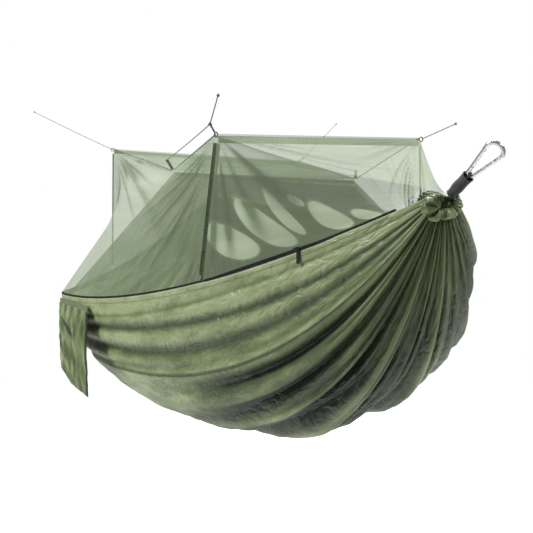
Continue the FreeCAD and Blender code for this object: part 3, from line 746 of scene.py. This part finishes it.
for end, sign in (("near", 1), ("far", -1)):
    near_top, far_top = (ROOF["b"], ROOF["c"]) if sign > 0 else (ROOF["a"], ROOF["d"])
    near_x, far_x = (FEET["b"], FEET["c"]) if sign > 0 else (FEET["a"], FEET["d"])
    end_x = sign * (HALF_SPAN - 0.045)
    columns = []
    for s in END_COLUMNS:
        low_near = zip_line(near_x + (end_x - near_x) * s) + np.array((0.0, 0.0, NET_START))
        low_far = rim(np.float64(far_x + (end_x - far_x) * s), False) + np.array((0, 0, 0.003))
        apex = np.array((end_x, 0.0, 0.014))
        up_near = mixed(near_top, apex + np.array((0.0, -0.009, 0.0)), s)
        up_far = mixed(far_top, apex + np.array((0.0, 0.009, 0.0)), s)
        columns.append(np.concatenate([mixed(a, b, np.linspace(0, 1, n)[:, None])[:n - last_cut]
                                       for a, b, n, last_cut in ((low_near, up_near, SIDE_ROWS, 1),
                                                                 (up_near, up_far, 42, 1),
                                                                 (up_far, low_far, 34, 0))]))
    points = np.stack(columns)
    middle = np.linspace(-1, 1, points.shape[1])[None]
    along = np.linspace(0, 1, points.shape[0])[:, None]
    droop = np.exp(-(middle / 0.5) ** 2) * np.sin(math.pi * along)
    points[..., 2] -= 0.012 * droop
    hold = pinned(points.shape, rows=(True, True), columns=(True, True), share=0.06)
    moves, pleat = 0, 0
    for corner, aim in ((near_top, points[60, 24]), (far_top, points[60, -10])):
        move, part = fan(points, corner, aim, random, 10, 0.005, 0.45)
        moves, pleat = moves + move, pleat + part
    doubled = np.clip(pleat, 0, 1) * hold
    if sign > 0:
        side = np.s_[:, :SIDE_ROWS - 1]
        s, t = np.meshgrid(END_COLUMNS, np.linspace(0, 1, SIDE_ROWS)[:-1], indexing="ij")
        density_shade_and_light = doubled_end(s, t) * (1 + 0.12 * ripple(random, s + t, t, 7, 14.0))
        doubled[side] += density_shade_and_light * (1 - 0.6 * doubled[side])
    net_piece(end + "_net_end", points + moves * hold[..., None], "hammock",
              ["net_near_end" if sign > 0 else "net_far_end"], doubled, flip=sign > 0)

# The fall across the middle: loose net hung from the middle tape in thick swags, denser where they
# lie doubled and painted dark all over, as painted shade.
top = mixed(ROOF["e"] + (0, 0, 0.002), ROOF["f"] + (0, 0, 0.002),
            np.linspace(0.01, 0.99, 130)[:, None])
sill_near = rim(np.float64(0.0), True) + np.array((0.0, 0.014, 0.016))
sill_far = rim(np.float64(0.0), False) + np.array((0.0, -0.010, 0.008))
sill = mixed(sill_near, sill_far, np.linspace(0.02, 0.99, 130)[:, None])
points = np.stack([mixed(top, sill, t) for t in np.linspace(0, 1, 110)])
y, z = points[..., 1], points[..., 2]
swag = ripple(random, y + z * 1.3, z * 0.4, 7, 30.0)
points[..., 0] += 0.012 * swag * pinned(points.shape)
net_piece("middle_net_fall", points, "hammock", ["net_middle_fall"],
          np.clip(0.80 + 0.10 * swag, 0, 1))

# ---------------------------------------------------------------- webbing and bindings
# Woven polyester tape carries the net: a hoop at each end of the roof, a light tape across its
# middle, corded roof edges, and a doubled binding along the open rim.
webbing = woven("green_webbing", (0.045, 0.065, 0.030), (0.105, 0.140, 0.065), 150.0, 0.72,
                sheen_weight=0.15)


def dress(name, finish):
    """Gives a CAD node its finish."""
    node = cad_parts[name]
    node.data.materials.clear()
    node.data.materials.append(finish)


for name in ("near_ridge_tape", "far_ridge_tape", "near_hoop_legs", "far_hoop_legs",
             "middle_hoop_tape", "near_roof_binding", "far_roof_binding", "far_rim_binding",
             "middle_tie_e", "middle_tie_f", "sack_seam_tape", "corner_loops",
             "corner_strap_b", "corner_strap_d"):
    dress(name, webbing)

# ---------------------------------------------------------------- zip
# A black nylon coil zip along the whole near rim: two rows of teeth, each sewn to a woven tape,
# with a lacquered slider and its pull tab by the near end.
TOOTH_PITCH = 0.0024
ZIP_ENDS = (-1.050, 1.090)
zip_tape_cloth = woven("zip_tape", (0.003, 0.003, 0.003), (0.012, 0.012, 0.012), 420.0, 0.75,
                       coordinates="UV")
tooth_nylon, tree, surface = material("zip_teeth", roughness=0.38)
wear = add(tree, "TexNoise", {"Vector": add(tree, "TexCoord").outputs["Object"], "Scale": 300.0})
tree.links.new(ramp(tree, wear.outputs["Fac"], [(0.3, (0.004, 0.004, 0.004)),
                                                (0.8, (0.014, 0.014, 0.014))]),
               surface.inputs["Base Color"])


def geometry(name, inputs):
    """An empty geometry tree with a shape in and out and the given named sizes."""
    tree = bpy.data.node_groups.new(name, "GeometryNodeTree")
    tree.interface.new_socket("Geometry", in_out="INPUT", socket_type="NodeSocketGeometry")
    for label, kind, value in inputs:
        socket = tree.interface.new_socket(label, in_out="INPUT", socket_type="NodeSocket" + kind)
        if value is not None:
            socket.default_value = value
    tree.interface.new_socket("Geometry", in_out="OUTPUT", socket_type="NodeSocketGeometry")
    return tree


def step(tree, kind, inputs, **settings):
    made = tree.nodes.new(kind)
    for name, value in settings.items():
        setattr(made, name, value)
    for name, value in inputs.items():
        if isinstance(value, bpy.types.NodeSocket):
            tree.links.new(value, made.inputs[name])
        else:
            made.inputs[name].default_value = value
    return made


rows_of = geometry("row_along_a_line", [
    ("Pitch", "Float", TOOTH_PITCH), ("Long", "Float", 0.0014), ("Wide", "Float", 0.003),
    ("Thick", "Float", 0.0024), ("Material", "Material", None)])
given = rows_of.nodes.new("NodeGroupInput").outputs
size = step(rows_of, "ShaderNodeCombineXYZ", {"X": given["Thick"], "Y": given["Wide"],
                                              "Z": given["Long"]})
block = step(rows_of, "GeometryNodeMeshCube", {"Size": size.outputs[0]})
spots = step(rows_of, "GeometryNodeResampleCurve", {"Curve": given["Geometry"],
                                                    "Length": given["Pitch"]}, mode="LENGTH")
tangent = rows_of.nodes.new("GeometryNodeInputTangent").outputs[0]
turned = step(rows_of, "FunctionNodeAlignRotationToVector", {"Vector": tangent}, axis="Z")
upright = step(rows_of, "FunctionNodeAlignRotationToVector",
               {"Rotation": turned.outputs[0], "Vector": (0.0, 0.0, 1.0)}, axis="Y",
               pivot_axis="Z")
copies = step(rows_of, "GeometryNodeInstanceOnPoints", {
    "Points": spots.outputs[0], "Instance": block.outputs["Mesh"],
    "Rotation": upright.outputs[0]})
real = step(rows_of, "GeometryNodeRealizeInstances", {"Geometry": copies.outputs[0]})
dressed = step(rows_of, "GeometryNodeSetMaterial", {"Geometry": real.outputs[0],
                                                    "Material": given["Material"]})
rows_of.links.new(dressed.outputs[0], rows_of.nodes.new("NodeGroupOutput").inputs[0])


def row_along(name, points, sizes, finish, body, replaces=()):
    """Small blocks set along a line of points, as one mesh; sizes are pitch, long, wide, thick."""
    curve = bpy.data.curves.new(name + "_line", "CURVE")
    curve.dimensions = "3D"
    spline = curve.splines.new("POLY")
    spline.points.add(len(points) - 1)
    for point, place in zip(spline.points, points):
        point.co = (*placed(place), 1.0)
    holder = bpy.data.objects.new(name + "_line", curve)
    bpy.context.collection.objects.link(holder)
    modifier = holder.modifiers.new("row", "NODES")
    modifier.node_group = rows_of
    sockets = {s.name: s.identifier for s in rows_of.interface.items_tree
               if s.in_out == "INPUT"}
    for label, value in zip(("Pitch", "Long", "Wide", "Thick"), sizes):
        modifier[sockets[label]] = value
    modifier[sockets["Material"]] = finish
    bpy.context.view_layer.update()
    seen = holder.evaluated_get(bpy.context.evaluated_depsgraph_get())
    mesh = bpy.data.meshes.new_from_object(seen)
    bpy.data.objects.remove(holder)
    return finished(name, mesh, body, replaces, finish, smooth=False)


def strip(name, points, low, high, finish, body, slot, replaces, out=0.0, thick=0.0008):
    """A flat tape standing on a line of points, from low to high above it."""
    levels = np.linspace(low, high, 5)
    grid = np.stack([points + np.array((0.0, -out, level)) for level in levels])
    run = np.concatenate(([0], np.cumsum(np.linalg.norm(np.diff(points, axis=0), axis=1))))
    flat = np.stack(np.broadcast_arrays(run[None], levels[:, None]), -1)
    piece = finished(name, grid_mesh(name, grid, flat), body, replaces, finish)
    edge = piece.modifiers.new("thickness", "SOLIDIFY")
    edge.thickness = thick
    edge.offset = 0
    return piece


def zip_points(first, last):
    count = int(abs(last - first) / 0.012) + 2
    return zip_line(np.linspace(first, last, count))


thread, tree, surface = material("green_thread", roughness=0.6, sheen_weight=0.3)
mottle = add(tree, "TexNoise", {"Vector": add(tree, "TexCoord").outputs["Object"], "Scale": 60.0})
tree.links.new(ramp(tree, mottle.outputs["Fac"], [(0.3, (0.10, 0.14, 0.06)),
                                                  (0.7, (0.20, 0.26, 0.13))]),
               surface.inputs["Base Color"])
for part, first, last, side, body in (
        ("zip_lower", *ZIP_ENDS, -1, "hammock"),
        ("door_zip", FEET["a"] + 0.005, FEET["b"] - 0.005, 1, "net_door"),
        ("near_end_zip", FEET["b"] + 0.005, ZIP_ENDS[1], 1, "hammock"),
        ("far_end_zip", ZIP_ENDS[0], FEET["a"] - 0.005, 1, "hammock")):
    line = zip_points(first, last)
    row_along(part + "_teeth_row", line + np.array((0.0, 0.0, side * 0.0010)),
              (TOOTH_PITCH, 0.0016, 0.0024, 0.0022), tooth_nylon, body,
              [part + "_teeth"])
    edges = sorted((side * 0.0015, side * (0.0120 if side < 0 else 0.0030)))
    strip(part + "_woven_tape", line, *edges, zip_tape_cloth, body, "zip_tape", [part + "_tape"])
lacquer, tree, surface = material("zip_lacquer", metallic=0.6, roughness=0.3, coat_weight=0.4)
chips = add(tree, "TexNoise", {"Vector": add(tree, "TexCoord").outputs["Object"], "Scale": 420.0,
                               "Detail": 3.0})
tree.links.new(ramp(tree, chips.outputs["Fac"], [(0.30, (0.010, 0.010, 0.011)),
                                                 (0.72, (0.045, 0.045, 0.047))]),
               surface.inputs["Base Color"])
for name in ("zip_slider", "zip_puller"):
    dress(name, lacquer)

# Lock stitches: a row through the hem under the zip and another beside the near seam.
x = np.linspace(-1.04, 1.08, 240)
for name, u, out in (("hem_stitches", 0.0050, 0.0026), ("near_seam_stitches", 0.1020, 0.0012)):
    points, _, _ = cloth_points(x, np.array((u - 0.001, u)))
    middle = cloth_points(x, np.array((0.5,)))[0][:, 0]
    away = points[:, 1] - middle
    away /= np.linalg.norm(away, axis=1)[:, None]
    row_along(name, points[:, 1] + away * out * 0.25, (0.0042, 0.0030, 0.0007, 0.0007), thread,
              "hammock")

# ---------------------------------------------------------------- rope, sleeve and carabiners
# At each end a black braided loop runs from the gathered hem through a sleeve of tubular webbing
# and round the narrow end of a polished steel spring-gate carabiner.
CARABINER_LENGTH = 0.073
steel, tree, surface = material("polished_steel", metallic=1.0, roughness=0.16)
where = add(tree, "TexCoord").outputs["Object"]
scuffs = add(tree, "TexNoise", {"Vector": where, "Scale": 260.0, "Detail": 4.0})
tree.links.new(ramp(tree, scuffs.outputs["Fac"], [(0.3, (0.62, 0.62, 0.63)),
                                                  (0.7, (0.82, 0.82, 0.83))]),
               surface.inputs["Base Color"])
dull = add(tree, "MapRange", {"Value": scuffs.outputs["Fac"], "From Min": 0.35, "From Max": 0.75,
                              "To Min": 0.12, "To Max": 0.30})
tree.links.new(dull.outputs["Result"], surface.inputs["Roughness"])
rope_braid = woven("black_rope", (0.006, 0.006, 0.006), (0.05, 0.05, 0.05), 330.0, 0.7)
sleeve_cloth = woven("black_sleeve", (0.003, 0.003, 0.003), (0.016, 0.016, 0.016), 240.0, 0.62,
                     coordinates="UV", sheen_weight=0.3)
for end, sign in (("near", 1), ("far", -1)):
    for part, finish in (("_carabiner_body", steel), ("_carabiner_gate", steel),
                         ("_carabiner_pin", steel), ("_rope_loop", rope_braid)):
        dress(end + part, finish)
    along = unit(ANCHOR - (HALF_SPAN, 0.0, 0.0))
    crossing = np.array((HALF_SPAN + 0.004, 0.0, 0.0))
    foot = crossing + along * 0.009
    mouth = ANCHOR - along * (CARABINER_LENGTH - 0.0072)
    rings, sides = 90, 40
    s = np.linspace(0, 1, rings)[:, None]
    turn = np.linspace(0, 2 * math.pi, sides, endpoint=False)[None]
    random = np.random.default_rng(60 + sign)
    uneven = ripple(random, s * 6, np.cos(turn) + 0.6 * np.sin(turn), 6, 1.6)
    radius = 0.0074 + 0.0015 * smooth(s / 0.7) + 0.0004 * uneven
    radius = radius + 0.0006 * (smooth((s - 0.955) / 0.03) + smooth((0.05 - s) / 0.04))
    flatten = 1 - 0.10 * np.cos(turn) ** 2 * smooth(s / 0.3)
    outer = sweep(mixed(foot, mouth, s), radius * flatten, sides)
    inner = sweep(mixed(foot, mouth, s), radius * flatten - 0.0009, sides)[::-1]
    points = np.concatenate((outer, inner, outer[:1]))
    points = points * (sign, 1, 1)
    flat = np.stack(np.broadcast_arrays(turn * 0.009, np.concatenate((s, s[::-1], s[:1])) * 0.05),
                    -1)
    mesh = grid_mesh(end + "_woven_sleeve", points, flat, round_rows=True, flip=sign < 0)
    finished(end + "_woven_sleeve", mesh, end + "_suspension", [end + "_sleeve"],
             sleeve_cloth)

# ---------------------------------------------------------------- stuff sack
# The pouch that the hammock packs into, of the same nylon, sewn to the near rim by its mouth. It
# hangs empty and nearly flat, with a slanting bottom and a bound seam down one side.
SACK_WIDE = 0.218
start = rim(np.float64(0.0), True)
finish = rim(np.float64(0.92 * SACK_WIDE), True)
level = unit((finish - start) * (1, 1, 0))
outward = np.cross(level, (0, 0, 1.0))
wide, tall = 46, 60
c, r = np.meshgrid(np.linspace(0, 1, wide), np.linspace(0, 1, tall))
bottom = np.interp(c, (0, 0.34, 1), (-0.208, -0.238, -0.250))
down = -0.020 + (bottom + 0.020) * r
belly = np.interp(r, (0, 0.12, 0.5, 0.85, 1), (0.007, 0.010, 0.012, 0.011, 0.009))
half = 0.0035 * np.sin(math.pi * np.clip(c, 0.0, 1)) ** 0.5 * np.sin(math.pi * np.clip(
    r * 0.96 + 0.02, 0, 1)) ** 0.5
random = np.random.default_rng(77)
crush = 0.0022 * ripple(random, c * 0.19, r * 0.22, 10, 55.0) + 0.0012 * ripple(
    random, c * 0.19, r * 0.22, 10, 150.0)
diagonal = np.exp(-((r - 0.14 - 0.95 * c * 0.45) / 0.035) ** 2) * (1 - smooth((c - 0.4) / 0.2))
front = belly + half + crush * (0.4 + 0.6 * (half / 0.0035)) - 0.006 * diagonal
back = belly - half + crush * 0.5
narrow = 0.5 + (c - 0.5) * (1 - 0.05 * r)
base = start + level * (narrow * SACK_WIDE)[..., None] + (0, 0, 1.0) * down[..., None]
front_points = base + outward * front[..., None]
back_points = base + outward * back[..., None]
sleeve_points = np.concatenate((front_points, back_points[:, ::-1]), 1)
flat = np.stack((np.concatenate((c, 2 - c[:, ::-1]), 1) * SACK_WIDE,
                 np.concatenate((r, r[:, ::-1]), 1) * 0.22), -1)
# Painted shade and tone: the sack is painted darker than the cloth with uneven tone, with a painted
# shadow down its right edge and its diagonal fold painted darker.
sack_tone_and_edge_shadow = 0.28 + 0.16 * ripple(random, c * 0.5, r * 0.22, 8, 60.0) + 0.8 * smooth((c - 0.93) / 0.03)
crease = np.clip(np.concatenate((sack_tone_and_edge_shadow + diagonal * 0.8, sack_tone_and_edge_shadow[:, ::-1]), 1), 0, 1)
mesh = grid_mesh("empty_stuff_sack", sleeve_points, flat, round_rows=True, crease=crease)
sack = finished("empty_stuff_sack", closed_ends(mesh), "stuff_sack",
                ["stuff_sack"], nylon)
